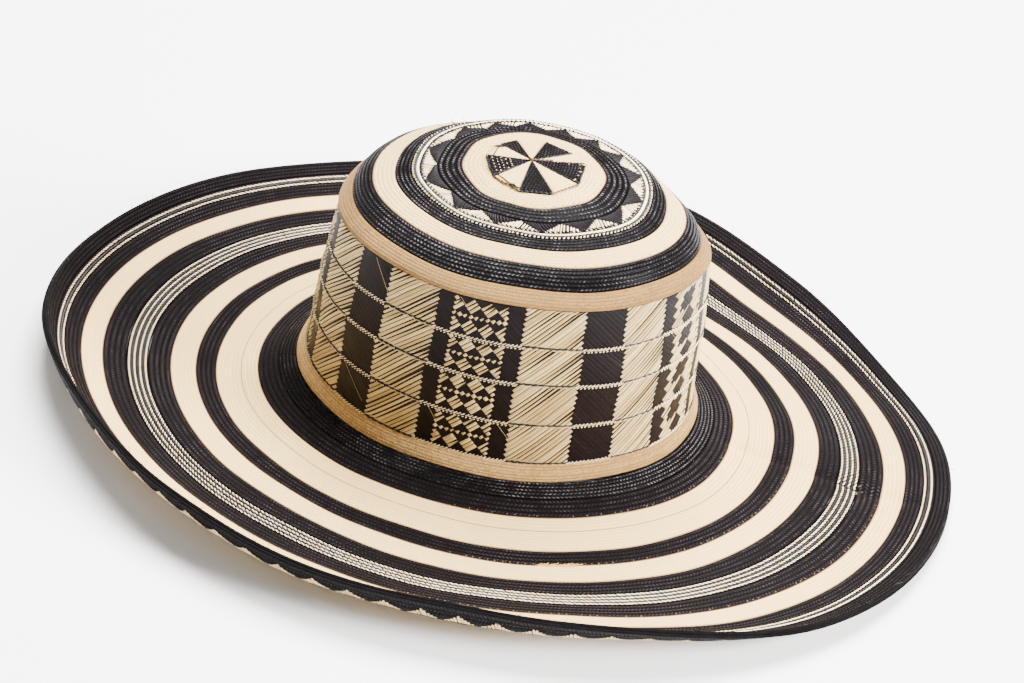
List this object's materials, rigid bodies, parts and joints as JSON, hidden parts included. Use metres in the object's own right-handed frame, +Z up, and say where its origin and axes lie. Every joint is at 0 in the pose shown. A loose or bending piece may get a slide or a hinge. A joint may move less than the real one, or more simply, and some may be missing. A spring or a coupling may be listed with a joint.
{
  "type": "woven straw hat",
  "caption": "Wide-brimmed hat of coiled straw braid in black and natural rings, with a figured crown wall, a star on the crown and an upturned brim.",
  "frame": {"origin": "on the floor, below the middle of the hat's box", "axes": "+Z up with the hat at rest on its brim, +X along the longer way of the brim, +Y away from the side shown in the picture"},
  "size_m": [0.478, 0.4374, 0.1553],
  "materials": {
    "straw_natural": "matt natural straw braid",
    "straw_black": "dyed straw braid with a soft gloss",
    "straw_golden": "matt golden straw, herringbone weave",
    "straw_figured": "black and natural straw strips",
    "straw_speckled": "black braid with lines of white stitches",
    "straw_zigzag": "black and natural straw triangles"
  },
  "bodies": {
    "root": {"star_black_petal_1": "straw_black", "star_natural_petal_1": "straw_natural", "star_black_petal_2": "straw_black", "star_natural_petal_2": "straw_natural", "star_black_petal_3": "straw_black", "star_natural_petal_3": "straw_natural", "star_black_petal_4": "straw_black", "star_natural_petal_4": "straw_natural", "star_black_petal_5": "straw_black", "star_natural_petal_5": "straw_natural", "crown_natural_disc": "straw_natural", "crown_black_ring_1": "straw_black", "crown_zigzag_ring": "straw_zigzag", "crown_black_ring_2": "straw_black", "crown_natural_ring": "straw_natural", "crown_black_ring_3": "straw_black", "wall_top_band": "straw_golden", "wall_figured_row_1": "straw_figured", "wall_figured_row_2": "straw_figured", "wall_figured_row_3": "straw_figured", "wall_figured_row_4": "straw_figured", "wall_bottom_band": "straw_golden", "brim_black_ring_1": "straw_black", "brim_black_ring_2": "straw_black", "brim_natural_ring_1": "straw_natural", "brim_black_ring_3": "straw_black", "brim_natural_ring_2": "straw_natural", "brim_black_ring_4": "straw_black", "brim_speckled_ring_1": "straw_speckled", "brim_black_ring_5": "straw_black", "brim_natural_ring_3": "straw_natural", "brim_black_ring_6": "straw_black", "brim_speckled_ring_2": "straw_speckled", "brim_rim_ring": "straw_black", "brim_under_band": "straw_zigzag"}
  },
  "joints": []
}
